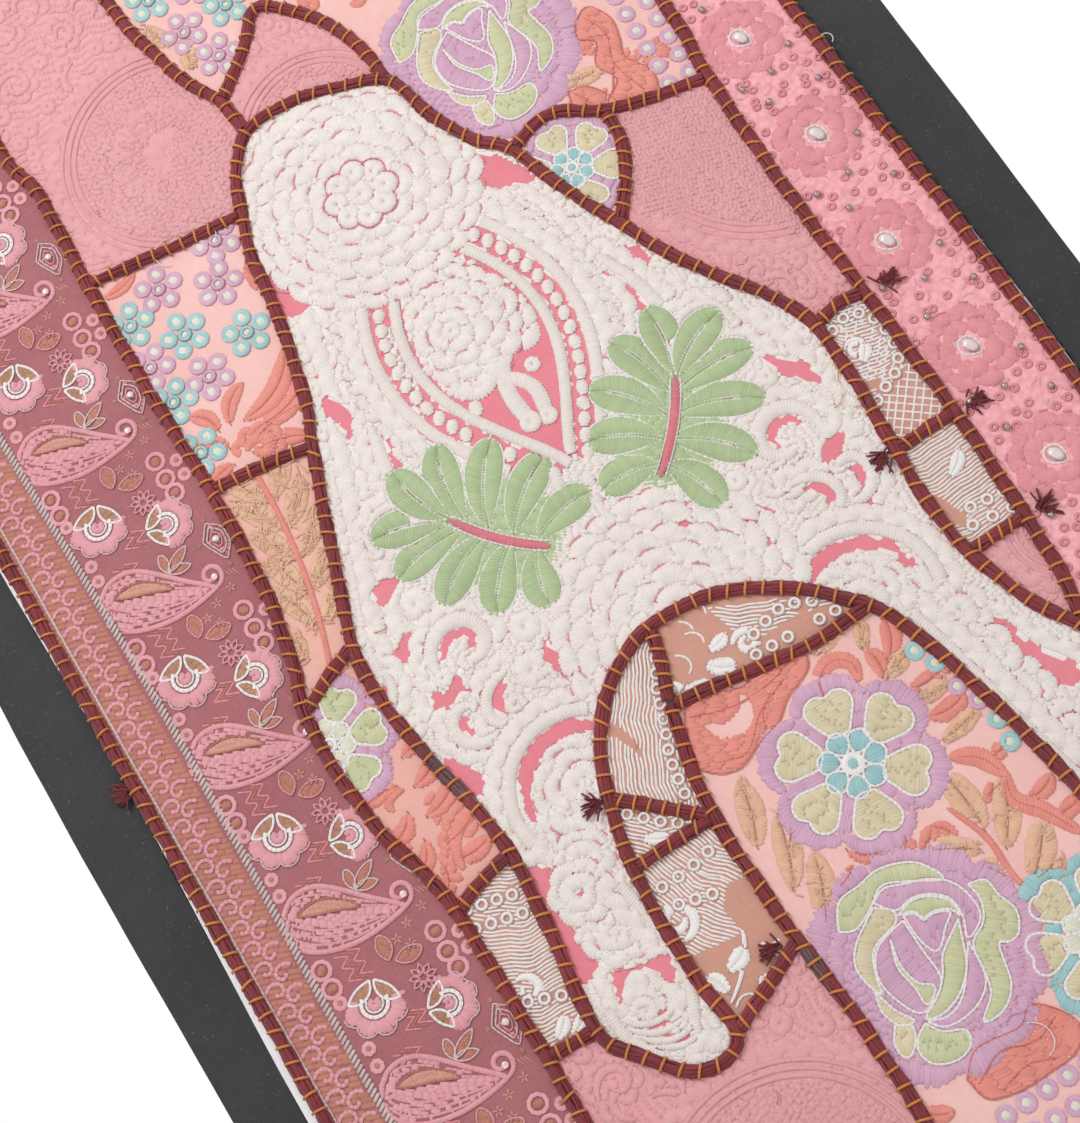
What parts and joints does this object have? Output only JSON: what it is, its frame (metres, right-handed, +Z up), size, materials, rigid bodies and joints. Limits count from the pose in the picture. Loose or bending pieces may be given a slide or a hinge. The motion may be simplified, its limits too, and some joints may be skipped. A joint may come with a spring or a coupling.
{
  "type": "patchwork textile wall hanging",
  "caption": "Upright rectangular patchwork of embroidered cloth, with yarn couched over its seams and a black cotton border and backing, made to hang from its top edge.",
  "frame": {"origin": "middle of the top edge, in the plane where the hanging is held", "axes": "+Z up along the hanging's length, +X to the right seen from its face, face towards -Y"},
  "size_m": [0.5028, 0.0127, 1],
  "materials": {
    "black_cotton": "dull black plain-weave cotton with a faint sheen",
    "white_lining": "white plain cotton",
    "maroon_yarn": "bundle of thin maroon wool yarns, couched with gold-orange thread",
    "mauve_sari": "mauve semi-sheer cloth with raised pink and copper thread embroidery",
    "rose_sari": "rose cloth with tone-on-tone thread embroidery, beads and sequins",
    "white_embroidery": "dense raised cream-white thread embroidery on pink cloth",
    "pink_embroidery": "light pink cloth with tone-on-tone thread embroidery",
    "peach_floral": "peach cloth with raised floral thread embroidery",
    "coral_floral": "pink cloth with coral thread scrolls",
    "tan_floral": "peach cloth with tan thread leaves and coral stems",
    "tan_net": "tan cloth with white thread rings and wavy lines"
  },
  "bodies": {
    "root": {"backing_cloth": "black_cotton", "border_bottom": "black_cotton", "border_left": "black_cotton", "border_right": "black_cotton", "border_top": "black_cotton", "cluster_left": "peach_floral", "cluster_low": "peach_floral", "coral_left": "coral_floral", "cord_above_left": "maroon_yarn", "cord_above_peak": "maroon_yarn", "cord_arch_cross_1": "maroon_yarn", "cord_arch_cross_2": "maroon_yarn", "cord_arch_cross_3": "maroon_yarn", "cord_arch_cross_4": "maroon_yarn", "cord_arch_cross_5": "maroon_yarn", "cord_arch_post": "maroon_yarn", "cord_edge": "maroon_yarn", "cord_figure": "maroon_yarn", "cord_left_cross_1": "maroon_yarn", "cord_left_cross_2": "maroon_yarn", "cord_left_cross_3": "maroon_yarn", "cord_left_cross_4": "maroon_yarn", "cord_left_cross_5": "maroon_yarn", "cord_low_cross_1": "maroon_yarn", "cord_low_cross_2": "maroon_yarn", "cord_low_seam": "maroon_yarn", "cord_right_cross_1": "maroon_yarn", "cord_right_cross_2": "maroon_yarn", "cord_right_cross_3": "maroon_yarn", "cord_right_cross_4": "maroon_yarn", "cord_shoulder": "maroon_yarn", "cord_strip_left": "maroon_yarn", "cord_strip_right": "maroon_yarn", "cord_top_cross_1": "maroon_yarn", "cord_top_cross_2": "maroon_yarn", "figure_white": "white_embroidery", "floral_arch": "peach_floral", "floral_corner": "coral_floral", "floral_top": "peach_floral", "lining_cloth": "white_lining", "net_arch_low": "tan_net", "net_arch_side": "tan_net", "net_arch_top": "tan_net", "net_arch_wedge": "tan_net", "net_left": "tan_net", "net_right_high": "tan_net", "net_right_low": "tan_net", "net_top": "tan_net", "petal_right": "peach_floral", "rose_fan_left": "pink_embroidery", "rose_fan_low": "pink_embroidery", "rose_fan_right": "pink_embroidery", "rose_foot": "pink_embroidery", "rose_right": "pink_embroidery", "rose_triangle": "pink_embroidery", "strip_mauve_paisley": "mauve_sari", "strip_rose_beaded": "rose_sari", "tan_leaf_left": "tan_floral", "tan_leaf_low": "tan_floral"}
  },
  "joints": []
}
